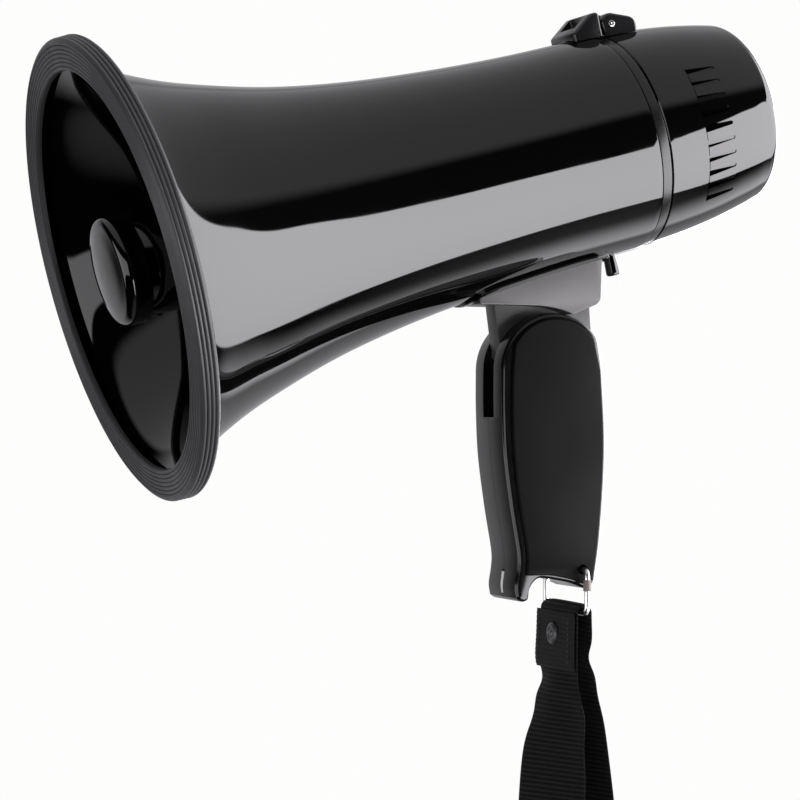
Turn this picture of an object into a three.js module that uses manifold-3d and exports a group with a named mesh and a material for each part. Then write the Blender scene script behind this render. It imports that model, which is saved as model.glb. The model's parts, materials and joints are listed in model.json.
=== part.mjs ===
// Folding hand megaphone: a reflex horn with a rear cap, a pistol grip that folds forward, and a wrist strap.
// Millimetres, +Z up. The origin is the middle of the grip, X points to the user and Y to the user's right.
// The horn is built along its own axis (x is the distance behind the rim, z the height above the axis) and
// hangs nose down, as it does when the grip hangs plumb.
import * as THREE from 'three';
import { mergeVertices } from 'three/addons/utils/BufferGeometryUtils.js';
import Module from 'manifold-3d';

const wasm = await Module();
wasm.setup();

// Driving dimensions
const GAP = 0.3;                       // between pieces that touch on the real object
const ROUND = 48;                      // flats round the horn and the cap
const HORN_PITCH = 15;                 // degrees, bell below the cap
const RIM_CENTRE = [-160, 0, 65];      // where the horn's axis meets the plane of the rim
const RIM_RADIUS = 80;
const WALL = 2.3;                      // moulded plastic
const BARREL_RADIUS = 39.2;
const BARREL_END = 193;                // rear edge of the horn shell
const BAND_END = 197.2;                // rear edge of the joint band
const CAP_START = 197.5;
const CAP_END = 247.5;
const PANEL_FRONT = 241;               // control panel inside the cap's open end
const PANEL_BACK = 243.4;
const VENT = { start: 213, end: 225, count: 10, first: 61, pitch: 8.2 };   // degrees from the top of the cap
const MIC = [0, 8];                    // y and z of what sits in the panel
const DIAL = [-14.5, -8];
const TALK = [0, -16];
const SLIDER = [14.5, -8];
const CELL_RADIUS = 13.1;              // four C cells
const CELL_LENGTH = 49;
const CELL_CIRCLE = 20;
const CELL_START = 147;
const PLUG_RADIUS = 19;
const FOLD_PIVOT = [0, 33];            // x and z of the grip's pivot
const GRIP_TOP_RADIUS = 20.4;          // round top that turns under the bracket
const GRIP_HALF_WIDTH = 12.4;
const BRACKET_HALF_WIDTH = 12;
const TANG_HALF_WIDTH = 4;
const SLOT_HALF_WIDTH = 4.5;
const PIN_RADIUS = 2.5;
const LATCH_PIN = [201, 41.7];         // along and above the horn's axis
const LATCH_HALF_WIDTH = 10;
const KNUCKLE_RADIUS = 2.9;            // clears the cap as the flap turns
const LEVER = { along: 183.6, tipRadius: 2.6, rootRadius: 2.1, top: -36.6, bottom: -46.4 };
const GRIP_SCREWS = [[12, 4], [-9, -30]];   // x and z
const RING_HOLE = [10.2, -37.5];       // x and z in the grip's foot
const RING_DROP = 15.5;
const RING_HALF_WIDTH = 17;
const WIRE_RADIUS = 1;
const STRAP_WIDTH = 30;
const STRAP_THICKNESS = 1.6;
const STRAP_DROP = 228;                // from the ring's bar to the bottom of the loop
const STRAP_TWIST = 25;                // degrees that the hanging loop turns about its length
const STRAP_BELLY = 22;                // half the gap between the strap's legs where they are furthest apart

const black = material(0x0b0b0c, 0.18);
const satin = material(0x3a3838, 0.4);
const rubber = material(0x4a4a4c, 0.6);
const dark = material(0x1c1c1c, 0.6);
const steel = material(0xc8c8c6, 0.3, 1);
const brass = material(0xb08d4a, 0.4, 1);
const green = material(0x2f6b3f, 0.7);
const webbing = material(0x121212, 0.9);

function material(color, roughness, metalness = 0) {
  return new THREE.MeshStandardMaterial({ color, roughness, metalness });
}

function add(group, name, geometry, look) {
  const mesh = new THREE.Mesh(geometry, look);
  mesh.name = name;
  group.add(mesh);
  return mesh;
}

// Solids

function bare(geometry) {
  const plain = geometry.clone();
  for (const name of Object.keys(plain.attributes)) {
    if (name !== 'position') plain.deleteAttribute(name);
  }
  return mergeVertices(plain, 1e-4);
}

function signedVolume(points, index) {
  const [a, b, c] = [new THREE.Vector3(), new THREE.Vector3(), new THREE.Vector3()];
  let sum = 0;
  for (let i = 0; i < index.length; i += 3) {
    a.fromBufferAttribute(points, index[i]);
    b.fromBufferAttribute(points, index[i + 1]);
    c.fromBufferAttribute(points, index[i + 2]);
    sum += a.dot(b.cross(c));
  }
  return sum;
}

// One closed mesh with shared corners, no empty triangles and its faces pointing out.
function closed(geometry) {
  const merged = bare(geometry);
  const kept = [];
  for (let i = 0; i < merged.index.count; i += 3) {
    const [a, b, c] = [0, 1, 2].map((k) => merged.index.getX(i + k));
    if (a !== b && b !== c && c !== a) kept.push(a, b, c);
  }
  if (signedVolume(merged.attributes.position, kept) < 0) kept.reverse();
  merged.setIndex(kept);
  return merged;
}

function toSolid(geometry) {
  const mesh = closed(geometry);
  const vertProperties = new Float32Array(mesh.attributes.position.array);
  const triVerts = new Uint32Array(mesh.index.array);
  return new wasm.Manifold(new wasm.Mesh({ numProp: 3, vertProperties, triVerts }));
}

function toGeometry(solid) {
  const { vertProperties, triVerts } = solid.getMesh();
  const geometry = new THREE.BufferGeometry();
  geometry.setAttribute('position', new THREE.BufferAttribute(vertProperties, 3));
  geometry.setIndex(new THREE.BufferAttribute(triVerts, 1));
  return geometry;
}

function cut(geometry, ...tools) {
  return toGeometry(tools.reduce((solid, tool) => solid.subtract(toSolid(tool)), toSolid(geometry)));
}

function join(...pieces) {
  return toGeometry(pieces.map(toSolid).reduce((solid, piece) => solid.add(piece)));
}

// A solid turned about the horn's axis from [along, radius] points. A profile that stays off the axis is closed.
function turned(profile, segments) {
  const points = profile.map(([along, radius]) => new THREE.Vector2(radius, along));
  const isRing = profile.every(([, radius]) => radius > 0);
  if (isRing) points.push(points[0].clone());
  return closed(new THREE.LatheGeometry(points, segments).rotateZ(-Math.PI / 2));
}

function disc(start, end, radius, segments = 24) {
  return turned([[start, 0], [start, radius], [end, radius], [end, 0]], segments);
}

function washer(start, end, outer, inner, segments = 24) {
  return turned([[start, inner], [start, outer], [end, outer], [end, inner]], segments);
}

function box(low, high) {
  const size = high.map((value, i) => value - low[i]);
  const middle = high.map((value, i) => (value + low[i]) / 2);
  return new THREE.BoxGeometry(...size).translate(...middle);
}

// A flat shape drawn in x and z, thick from y = low to y = high.
function plate(shape, low, high, curveSegments = 6) {
  const geometry = new THREE.ExtrudeGeometry(shape, { depth: high - low, bevelEnabled: false, curveSegments });
  return closed(geometry.rotateX(Math.PI / 2).translate(0, high, 0));
}

function outline(points) {
  return new THREE.Shape(points.map(([x, z]) => new THREE.Vector2(x, z)));
}

// A pin along Y at [x, z], as wide as 2 * halfWidth.
function crossPin([x, z], radius, halfWidth, segments = 20) {
  return closed(new THREE.CylinderGeometry(radius, radius, 2 * halfWidth, segments).translate(x, 0, z));
}

// Horn

const FLARE = new THREE.SplineCurve([
  [2, 77.5], [10, 68.6], [28, 59.9], [48, 53.5], [72, 47.7], [100, 43.5], [130, 40.9], [160, 39.5],
  [BARREL_END, BARREL_RADIUS],
].map(([along, radius]) => new THREE.Vector2(along, radius)));

function flarePoints(offset, divisions = 10) {
  const points = [];
  for (let i = 0; i <= divisions; i += 1) {
    const share = i / divisions;
    const at = FLARE.getPoint(share);
    points.push([at.x, at.y + offset]);
  }
  return points;
}

function hornRadius(along) {
  const points = FLARE.getPoints(200);
  return points.find((point) => point.x >= along).y;
}

function hornShell() {
  const inner = flarePoints(-WALL).reverse();
  inner[inner.length - 1][1] -= 1.2;          // the flare's wall is cut square at the rim
  const shell = turned([...flarePoints(0), ...inner], ROUND);
  const leverHole = closed(new THREE.CylinderGeometry(3.4, 3.4, 8, 16).rotateX(Math.PI / 2));
  leverHole.translate(LEVER.along, 0, -BARREL_RADIUS);
  return cut(shell, leverHole);
}

// The space that the horn fills, a little larger, to shape what sits on it.
function hornClearance() {
  const skin = flarePoints(GAP);
  return turned([[2, 0], ...skin, [BARREL_END + 30, BARREL_RADIUS + GAP], [BARREL_END + 30, 0]], ROUND);
}

function bellBumper() {
  return turned([
    [1, 68.5], [0, 69.3], [0, RIM_RADIUS - 0.8], [0.8, RIM_RADIUS], [6.2, RIM_RADIUS], [7, RIM_RADIUS - 0.8],
    [7, 73.6], [1.6, 78.8], [1.6, 70.3], [2.6, 68.5],
  ], ROUND);
}

function centrePlug() {
  const profile = [[9.2, 0], [9.2, PLUG_RADIUS - 1.5], [7.6, PLUG_RADIUS]];
  for (let i = 0; i <= 3; i += 1) {
    const angle = (i / 3) * Math.PI / 2;
    profile.push([3 - 3 * Math.sin(angle), PLUG_RADIUS - 3 + 3 * Math.cos(angle)]);
  }
  profile.push([-1.2, 9], [-1.6, 0]);
  return turned(profile, 28);
}

function reflectorCup() {
  return turned([
    [9.6, 0], [9.6, 15.6], [14, 17.4], [62, 20.5], [62, 18.9], [14.5, 15.8], [12, 13.5], [12, 0],
  ], 24);
}

function throatTube() {
  return turned([[24, 10.4], [24, 12.2], [96, 9], [101, 20], [103.5, 20], [103.5, 6.5], [94, 6.5]], 24);
}

// Three arms that hold the reflector in the middle of the bell.
function spider() {
  const start = 52;
  const end = 56;
  const arms = [0, 120, 240].map((degrees) => {
    const arm = box([start, -2, 21], [end, 2, hornRadius(end) - WALL - 1.2]);
    return arm.rotateX(THREE.MathUtils.degToRad(degrees));
  });
  return join(washer(start, end, 22.6, 20.6, 32), ...arms);
}

function driverFlange() {
  return washer(104, 107, hornRadius(107) - WALL - GAP, 12);
}

function driverFrame() {
  return turned([[107.3, 15], [107.3, 27], [109.5, 27], [113, 22], [116, 22], [116, 15]], 20);
}

function diaphragm() {
  return turned([[109, 0], [111, 9], [113.5, 14], [114.3, 14], [112, 9], [110, 0]], 18);
}

function driverMagnet() {
  return turned([[116.3, 0], [116.3, 26], [117.3, 27], [129.7, 27], [130.7, 26], [130.7, 0]], 20);
}

function batteryHolder() {
  const post = 5;
  const plateStart = 139;
  return turned([
    [plateStart, 0], [plateStart, hornRadius(141) - WALL - GAP - 0.4], [141, hornRadius(141) - WALL - GAP - 0.4],
    [141, post], [194, post], [194, 0],
  ], 24);
}

function cell() {
  const tip = CELL_LENGTH + 1;
  return turned([
    [0, 0], [0, CELL_RADIUS], [CELL_LENGTH - 0.8, CELL_RADIUS], [CELL_LENGTH - 0.8, 3], [tip, 3], [tip, 0],
  ], 20);
}

// A coil spring along the horn's axis.
class Helix extends THREE.Curve {
  constructor(radius, turns, rise) {
    super();
    Object.assign(this, { radius, turns, rise });
  }

  getPoint(t, target = new THREE.Vector3()) {
    const angle = t * this.turns * 2 * Math.PI;
    return target.set(t * this.rise, this.radius * Math.cos(angle), this.radius * Math.sin(angle));
  }
}

function circle(radius) {
  return new THREE.Shape().absarc(0, 0, radius, 0, 2 * Math.PI);
}

function tube(path, radius, steps, curveSegments = 4) {
  const options = { steps, curveSegments, bevelEnabled: false, extrudePath: path };
  return closed(new THREE.ExtrudeGeometry(circle(radius), options));
}

function seamBand() {
  return washer(BARREL_END + GAP, BAND_END, BARREL_RADIUS - 0.5, BARREL_RADIUS - 3.5, ROUND);
}

// Rear cap

const CAP_OUTLINE = new THREE.SplineCurve([
  [CAP_START, 38.7], [206, 38.7], [216, 37.7], [226, 36.1], [236, 34.4], [242.5, 33],
].map(([along, radius]) => new THREE.Vector2(along, radius)));

function capRadius(along) {
  return CAP_OUTLINE.getPoints(100).find((point) => point.x >= along).y;
}

// Everything within the cap's outside, and a hair more, so parts on it can be cut to fit over it.
function capClearance() {
  const skin = CAP_OUTLINE.getPoints(4).map((point) => [point.x, point.y + GAP]);
  return turned([[CAP_START - 4, 0], [CAP_START - 4, skin[0][1]], ...skin, [CAP_END, 0]], ROUND);
}

// One vent: deep at its front end, running out to nothing at the rear.
function vent(degrees) {
  const front = capRadius(VENT.start);
  const rear = capRadius(VENT.end);
  const shape = outline([
    [VENT.start, front - 3.4], [VENT.start, front + 2], [VENT.end + 1, rear + 2], [VENT.end, rear - 0.2],
  ]);
  return plate(shape, -1.7, 1.7).rotateX(THREE.MathUtils.degToRad(degrees));
}

function rearCap() {
  const outer = CAP_OUTLINE.getPoints(4).map((point) => [point.x, point.y]);
  const inner = outer.map(([along, radius]) => [along, radius - WALL]).reverse();
  const lip = [[244.8, 31.6], [246.6, 29], [CAP_END, 27.6], [CAP_END, 26.6], [PANEL_BACK + 0.6, 26.2]];
  const shell = turned([...outer, ...lip, ...inner], ROUND);
  const angles = [];
  for (let i = 0; i < VENT.count; i += 1) {
    const degrees = VENT.first + i * VENT.pitch;
    angles.push(degrees, -degrees);
  }
  return cut(shell, ...angles.map(vent));
}

function throughHole([y, z], radius, segments = 20) {
  return disc(PANEL_FRONT - 2, PANEL_BACK + 2, radius, segments).translate(0, y, z);
}

function controlPanel() {
  const panel = disc(PANEL_FRONT, PANEL_BACK, 25.9, 40);
  const [y, z] = SLIDER;
  const slot = box([PANEL_FRONT - 2, y - 5, z - 1.6], [PANEL_BACK + 2, y + 5, z + 1.6]);
  return cut(panel, throughHole(MIC, 9), throughHole(DIAL, 1.9), throughHole(TALK, 3.9), slot);
}

function micGrille() {
  const face = disc(PANEL_BACK - 1.2, PANEL_BACK + 0.6, 9 - GAP, 28);
  const slots = [-4.8, -2.4, 0, 2.4, 4.8].map((z) => {
    const reach = Math.sqrt(7.2 ** 2 - z ** 2);
    return box([PANEL_BACK - 3, -reach, z - 0.55], [PANEL_BACK + 3, reach, z + 0.55]);
  });
  return cut(face, ...slots).translate(0, ...MIC);
}

function volumeDial() {
  const knob = turned([
    [PANEL_BACK + 0.4, 0], [PANEL_BACK + 0.4, 6.6], [PANEL_BACK + 2.6, 6.2], [PANEL_BACK + 3.2, 5.4],
    [PANEL_BACK + 3.2, 0],
  ], 28);
  const pointer = box([PANEL_BACK + 2.6, -0.5, 2], [PANEL_BACK + 4, 0.5, 7]);
  const shaft = disc(PANEL_FRONT - 1.5, PANEL_BACK + 1, 1.6, 12);
  return join(cut(knob, pointer), shaft).translate(0, ...DIAL);
}

function talkButton() {
  const stem = disc(PANEL_FRONT - 0.9, PANEL_BACK + 2.8, 3.6, 24);
  const flange = disc(PANEL_FRONT - 1.4, PANEL_FRONT - GAP, 5, 24);
  return join(stem, flange).translate(0, ...TALK);
}

function sirenSlider() {
  const [y, z] = SLIDER;
  const stem = box([PANEL_FRONT - 0.9, y - 1.6, z - 1.2], [PANEL_BACK + 0.8, y + 1.6, z + 1.2]);
  const knob = box([PANEL_BACK + 0.4, y - 2.4, z - 2.6], [PANEL_BACK + 2.2, y + 2.4, z + 2.6]);
  const foot = box([PANEL_FRONT - 1.4, y - 2.6, z - 2.8], [PANEL_FRONT - 0.4, y + 2.6, z + 2.8]);
  return join(stem, knob, foot);
}

// Latch: a base on the cap, a pin, and a flap with a window that hooks over a catch on the barrel.

function latchBase() {
  const [pinAlong, pinHeight] = LATCH_PIN;
  const shape = new THREE.Shape();
  shape.moveTo(199, 36);
  shape.lineTo(197.6, 39.6);
  shape.absarc(pinAlong, pinHeight, 3.9, Math.PI * 0.9, Math.PI * 0.35, true);
  shape.lineTo(208.6, 43);
  shape.quadraticCurveTo(210.8, 42, 210.9, 39.6);
  shape.lineTo(210.4, 34);
  const block = plate(shape, -LATCH_HALF_WIDTH, LATCH_HALF_WIDTH);
  const knuckleRoom = box([196, -5.4, 30], [pinAlong + 6.3, 5.4, 50]);
  const pinHole = crossPin(LATCH_PIN, 1.35, LATCH_HALF_WIDTH + 2, 16);
  return cut(block, capClearance(), knuckleRoom, pinHole);
}

function latchFlap() {
  const [pinAlong, pinHeight] = LATCH_PIN;
  const body = plate(outline([
    [185.5, 36], [185.5, 41.3], [193, 46.5], [194.4, 46.9], [197, 46.9], [196.8, 41], [196.8, 36],
  ]), -LATCH_HALF_WIDTH, LATCH_HALF_WIDTH);
  const window = box([188.2, -6, 36], [193.4, 6, 50]);
  const arm = plate(outline([
    [195, 46.7], [198, 46.4], [200.5, 45.4], [pinAlong, pinHeight], [199.5, 39.8], [195, 39.8],
  ]), -5, 5);
  const knuckle = crossPin(LATCH_PIN, KNUCKLE_RADIUS, 5);
  const shaped = join(cut(body, window), arm, knuckle);
  return cut(shaped, hornClearance(), crossPin(LATCH_PIN, 1.35, 14, 16));
}

function latchCatch() {
  const nub = plate(outline([[189.4, 36], [190.2, 40.2], [191.6, 42], [192.7, 42], [192.7, 36]]), -5, 5);
  return cut(nub, hornClearance());
}

// Mode lever behind the bracket: a peg that widens to its round tip

function modeLever() {
  const { tipRadius, rootRadius, top, bottom } = LEVER;
  const points = [[0, bottom], [tipRadius - 0.9, bottom], [tipRadius, bottom + 0.9], [rootRadius, top], [0, top]];
  const profile = points.map(([radius, height]) => new THREE.Vector2(radius, height));
  return closed(new THREE.LatheGeometry(profile, 20).rotateX(Math.PI / 2).translate(LEVER.along, 0, 0));
}

// Bracket under the horn, with the tang that the grip turns on

function inHorn(group, geometry) {
  group.updateMatrixWorld(true);
  return geometry.applyMatrix4(group.matrixWorld);
}

function handleBracket(hornGroup) {
  const side = new THREE.Shape();
  side.moveTo(-29, 56.1);
  side.lineTo(-6.5, 55.9);
  side.quadraticCurveTo(2.5, 55.4, 7.2, 52.9);
  side.lineTo(16, 56.4);
  side.quadraticCurveTo(18.1, 57.4, 18.2, 59.4);
  side.lineTo(18.9, 78);
  side.lineTo(-29, 66);
  const body = plate(side, -BRACKET_HALF_WIDTH, BRACKET_HALF_WIDTH);
  const [x, z] = FOLD_PIVOT;
  const hub = 12;
  const tang = new THREE.Shape();
  tang.moveTo(-20.2, 58);
  tang.lineTo(-17.5, 38);
  tang.absarc(x, z, hub, Math.PI * 1.08, Math.PI * 2, false);
  tang.lineTo(hub, 44.9);
  tang.lineTo(17.6, 45.2);
  tang.lineTo(18.4, 46.4);
  tang.lineTo(17.6, 58);
  const joined = join(body, plate(tang, -TANG_HALF_WIDTH, TANG_HALF_WIDTH));
  const horn = inHorn(hornGroup, hornClearance());
  return cut(joined, horn, crossPin(FOLD_PIVOT, PIN_RADIUS + 0.15, 6, 24));
}

// Grip

function gripShape() {
  const [x, z] = FOLD_PIVOT;
  const shape = new THREE.Shape();
  shape.moveTo(x - GRIP_TOP_RADIUS, z);
  shape.absarc(x, z, GRIP_TOP_RADIUS, Math.PI, Math.PI * 0.2, true);
  shape.lineTo(17.2, 43);
  shape.splineThru(vectors([[18.7, 33], [20, 10], [19.5, -8], [17.8, -28], [15.8, -41]]));
  shape.quadraticCurveTo(14.8, -44.6, 11.5, -44.3);
  shape.splineThru(vectors([[6, -42.2], [-2, -40.6]]));
  shape.splineThru(vectors([[-6.2, -40.4], [-9, -43], [-10.2, -47.6]]));
  shape.lineTo(-12.2, -48.9);
  shape.lineTo(-14.8, -47.2);
  shape.splineThru(vectors([[-15.3, -43], [-14.4, -37], [-14.4, -31], [-17.1, -15.4], [-19.6, 3], [-20.4, 20]]));
  shape.closePath();
  return shape;
}

function vectors(points) {
  return points.map(([x, z]) => new THREE.Vector2(x, z));
}

function gripBody() {
  const bevel = { bevelThickness: 2.8, bevelSize: 1.5, bevelOffset: -1.5, bevelSegments: 1 };
  const depth = 2 * (GRIP_HALF_WIDTH - bevel.bevelThickness);
  const geometry = new THREE.ExtrudeGeometry(gripShape(), { depth, curveSegments: 2, ...bevel });
  return closed(geometry.rotateX(Math.PI / 2).translate(0, depth / 2, 0));
}

// Room for the tang to turn in, from the slot in the front to the shoulder at the rear.
function tangRoom() {
  return plate(outline([
    [-26, 16.5], [12.6, 16.5], [12.6, 44.2], [26, 44.2], [26, 60], [-26, 60],
  ]), -SLOT_HALF_WIDTH, SLOT_HALF_WIDTH);
}

// side is 1 for the right half and -1 for the left half.
function gripHalf(side) {
  const middle = 0.15;
  const farSide = side > 0 ? box([-60, -40, -80], [60, middle, 80]) : box([-60, -middle, -80], [60, 40, 80]);
  const cavity = plate(outline([[-14, 13], [8, 13], [8, -2], [14, -8], [13, -30], [-5, -30], [-5, -18], [-12, -6]]),
    -9.8, 9.8);
  const pinHole = crossPin(FOLD_PIVOT, PIN_RADIUS + 0.15, 11.6, 24);
  const ringHole = crossPin(RING_HOLE, WIRE_RADIUS + 0.8, 30, 12);
  const toeSlit = box([-20, -1, -46], [-8, 1, -37.5]);
  const screwHoles = GRIP_SCREWS.map((at) => crossPin(at, 1.6, 10.6, 12));
  return cut(gripBody(), farSide, tangRoom(), cavity, pinHole, ringHole, toeSlit, ...screwHoles);
}

function padShape() {
  const [x, z] = FOLD_PIVOT;
  const shape = new THREE.Shape();
  shape.moveTo(-15.6, 42);
  shape.absarc(x, z, 18.4, Math.PI * 0.84, Math.PI * 0.2, true);
  shape.splineThru(vectors([[17.4, 33], [18.5, 10], [18, -8], [16.3, -28], [14.4, -41]]));
  shape.quadraticCurveTo(13.6, -43.2, 11.6, -43);
  shape.splineThru(vectors([[6, -41], [-2, -39.4], [-8, -39.2]]));
  shape.lineTo(-11.6, -39.6);
  shape.splineThru(vectors([[-11.4, -31], [-14.1, -15.4], [-16.4, 3], [-17.2, 20], [-16.9, 34]]));
  shape.closePath();
  return shape;
}

function gripPad(side) {
  const inner = GRIP_HALF_WIDTH + GAP;
  const outer = inner + 1;
  const [low, high] = side > 0 ? [inner, outer] : [-outer, -inner];
  const ringHole = crossPin(RING_HOLE, WIRE_RADIUS + 0.8, 30, 12);
  return cut(plate(padShape(), low, high, 2), ringHole);
}

// Wrist strap and its wire ring

// The wire bends down outside the grip's foot on both sides and crosses under it.
function strapRing() {
  const [x, z] = RING_HOLE;
  const bottom = z - RING_DROP;
  const corner = 3;
  const side = RING_HALF_WIDTH;
  const path = new THREE.CurvePath();
  const at = (y, height) => new THREE.Vector3(x, y, height);
  const line = (from, to) => path.add(new THREE.LineCurve3(from, to));
  const bend = (from, through, to) => path.add(new THREE.QuadraticBezierCurve3(from, through, to));
  line(at(0, z), at(side - corner, z));
  bend(at(side - corner, z), at(side, z), at(side, z - corner));
  line(at(side, z - corner), at(side, bottom + corner));
  bend(at(side, bottom + corner), at(side, bottom), at(side - corner, bottom));
  line(at(side - corner, bottom), at(corner - side, bottom));
  bend(at(corner - side, bottom), at(-side, bottom), at(-side, bottom + corner));
  line(at(-side, bottom + corner), at(-side, z - corner));
  bend(at(-side, z - corner), at(-side, z), at(corner - side, z));
  line(at(corner - side, z), at(-0.6, z));
  return tube(path, WIRE_RADIUS, 44, 3);
}

// Where one leg of the strap is, at t from 0 at the ring's bar to 1 at the bottom of the loop. way is -1 for the
// front leg and 1 for the rear one. The loop turns as it hangs, spreads, and closes in a round bottom.
function strapPlace(t, way) {
  const throat = 2.8;
  const drop = Math.sin(t * Math.PI / 2);
  const spread = throat * (1 - t ** 6) + STRAP_BELLY * Math.sin(Math.PI * t ** 1.5);
  const turn = THREE.MathUtils.degToRad(STRAP_TWIST) * THREE.MathUtils.smoothstep(drop, 0.03, 0.3);
  const across = new THREE.Vector3(-Math.sin(turn), Math.cos(turn), 0);
  const middle = new THREE.Vector3(Math.cos(turn), Math.sin(turn), 0).multiplyScalar(way * spread);
  middle.add(new THREE.Vector3(RING_HOLE[0], 0, RING_HOLE[1] - RING_DROP - drop * STRAP_DROP));
  return { middle, across };
}

// One closed band of webbing: down the front leg, up the rear one and over the ring's bar.
function strap() {
  const steps = 20;
  const path = [];
  for (let i = 0; i <= steps; i += 1) path.push(strapPlace(i / steps, -1));
  for (let i = steps - 1; i >= 0; i -= 1) path.push(strapPlace(i / steps, 1));
  const radius = path[path.length - 1].middle.x - RING_HOLE[0];
  for (const degrees of [45, 90, 135]) {
    const angle = THREE.MathUtils.degToRad(degrees);
    const [x, z] = [radius * Math.cos(angle), radius * Math.sin(angle)];
    const middle = new THREE.Vector3(RING_HOLE[0] + x, 0, RING_HOLE[1] - RING_DROP + z);
    path.push({ middle, across: new THREE.Vector3(0, 1, 0) });
  }
  return band(path, STRAP_WIDTH, STRAP_THICKNESS);
}

// A closed band through a ring of places, each with a middle and the direction across its width.
function band(path, width, thickness) {
  const corners = [];
  path.forEach(({ middle, across }, i) => {
    const next = path[(i + 1) % path.length].middle;
    const last = path[(i + path.length - 1) % path.length].middle;
    const along = next.clone().sub(last).normalize();
    const out = new THREE.Vector3().crossVectors(along, across).normalize();
    for (const [side, face] of [[-1, -1], [1, -1], [1, 1], [-1, 1]]) {
      const corner = middle.clone().addScaledVector(across, side * width / 2);
      corners.push(corner.addScaledVector(out, face * thickness / 2));
    }
  });
  const index = [];
  path.forEach((_, i) => {
    const here = i * 4;
    const there = ((i + 1) % path.length) * 4;
    for (let k = 0; k < 4; k += 1) {
      const [a, b] = [here + k, here + (k + 1) % 4];
      const [c, d] = [there + k, there + (k + 1) % 4];
      index.push(a, b, d, a, d, c);
    }
  });
  const geometry = new THREE.BufferGeometry().setFromPoints(corners);
  geometry.setIndex(index);
  return closed(geometry);
}

function strapRivet() {
  const [x, z] = RING_HOLE;
  const height = z - RING_DROP - 8;
  const rivet = new THREE.CylinderGeometry(4, 4, 1.2, 20).rotateZ(Math.PI / 2);
  return closed(rivet.translate(x - 5.8, 0, height));
}

// Assembly

const megaphone = new THREE.Group();
const horn = new THREE.Group();
horn.position.set(...RIM_CENTRE);
horn.rotation.y = THREE.MathUtils.degToRad(-HORN_PITCH);
const grip = new THREE.Group();
const wristStrap = new THREE.Group();
megaphone.add(horn, grip, wristStrap);

add(horn, 'horn_shell', hornShell(), black);
add(horn, 'bell_bumper', bellBumper(), rubber);
add(horn, 'centre_plug', centrePlug(), black);
add(horn, 'reflector_cup', reflectorCup(), black);
add(horn, 'throat_tube', throatTube(), black);
add(horn, 'reflector_spider', spider(), black);
add(horn, 'driver_flange', driverFlange(), dark);
add(horn, 'driver_frame', driverFrame(), steel);
add(horn, 'driver_diaphragm', diaphragm(), dark);
add(horn, 'driver_magnet', driverMagnet(), dark);
add(horn, 'battery_holder', batteryHolder(), dark);
for (let i = 0; i < 4; i += 1) {
  const angle = THREE.MathUtils.degToRad(45 + 90 * i);
  const [y, z] = [CELL_CIRCLE * Math.cos(angle), CELL_CIRCLE * Math.sin(angle)];
  add(horn, `battery_cell_${i + 1}`, cell(), green).position.set(CELL_START, y, z);
  const spring = tube(new Helix(4, 2, 4.2), 0.4, 16, 2);
  add(horn, `contact_spring_${i + 1}`, spring, steel).position.set(142, y, z);
}
add(horn, 'seam_band', seamBand(), black);
add(horn, 'latch_catch', latchCatch(), dark);
add(horn, 'mode_lever', modeLever(), black);
add(horn, 'rear_cap', rearCap(), black);
add(horn, 'contact_plate', disc(198.4, 200, 33, 32), brass);
add(horn, 'amplifier_board', box([206, -22, -20], [207.6, 22, 18]), green);
add(horn, 'board_capacitor', disc(208, 222, 5, 16).translate(0, 10, -8), dark);
add(horn, 'microphone_capsule', disc(235, 241, 4.9, 20).translate(0, ...MIC), steel);
add(horn, 'microphone_grille', micGrille(), dark);
add(horn, 'control_panel', controlPanel(), dark);
add(horn, 'volume_dial', volumeDial(), black);
add(horn, 'talk_button', talkButton(), rubber);
add(horn, 'siren_slider', sirenSlider(), rubber);
add(horn, 'latch_base', latchBase(), dark);
add(horn, 'latch_pin', crossPin(LATCH_PIN, 1.2, LATCH_HALF_WIDTH + 0.4, 16), steel);
add(horn, 'latch_flap', latchFlap(), dark);

add(grip, 'handle_bracket', handleBracket(horn), satin);
add(grip, 'fold_pin', crossPin(FOLD_PIVOT, PIN_RADIUS, 11.3, 24), steel);
add(grip, 'grip_half_right', gripHalf(1), black);
add(grip, 'grip_half_left', gripHalf(-1), black);
add(grip, 'grip_pad_right', gripPad(1), dark);
add(grip, 'grip_pad_left', gripPad(-1), dark);
GRIP_SCREWS.forEach((at, i) => add(grip, `grip_screw_${i + 1}`, crossPin(at, 1.4, 10.2, 12), steel));

add(wristStrap, 'strap_ring', strapRing(), steel);
add(wristStrap, 'wrist_strap', strap(), webbing);
add(wristStrap, 'strap_rivet', strapRivet(), black);

export default megaphone;
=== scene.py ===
"""Looks of a folding hand megaphone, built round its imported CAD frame.

Blender objects are in metres. Sizes below are in millimetres, in the frame of the CAD: the origin is the
middle of the grip, +X points to the user and +Z up. What belongs to the horn is drawn along the horn's own
axis, as (distance behind the rim, distance from the axis).
"""
import json
import math

import bmesh
import bpy
from mathutils import Matrix, Vector


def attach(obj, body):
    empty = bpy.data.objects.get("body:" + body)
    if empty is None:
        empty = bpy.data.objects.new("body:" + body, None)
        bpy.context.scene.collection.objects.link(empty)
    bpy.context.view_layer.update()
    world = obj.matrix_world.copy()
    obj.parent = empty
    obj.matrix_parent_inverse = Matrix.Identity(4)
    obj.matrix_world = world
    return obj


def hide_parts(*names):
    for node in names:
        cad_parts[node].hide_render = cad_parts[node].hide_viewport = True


MM = 0.001
WORLD = Matrix.Identity(4)
HORN = Matrix.Translation((-0.160, 0, 0.065)) @ Matrix.Rotation(math.radians(-15), 4, "Y")

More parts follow.
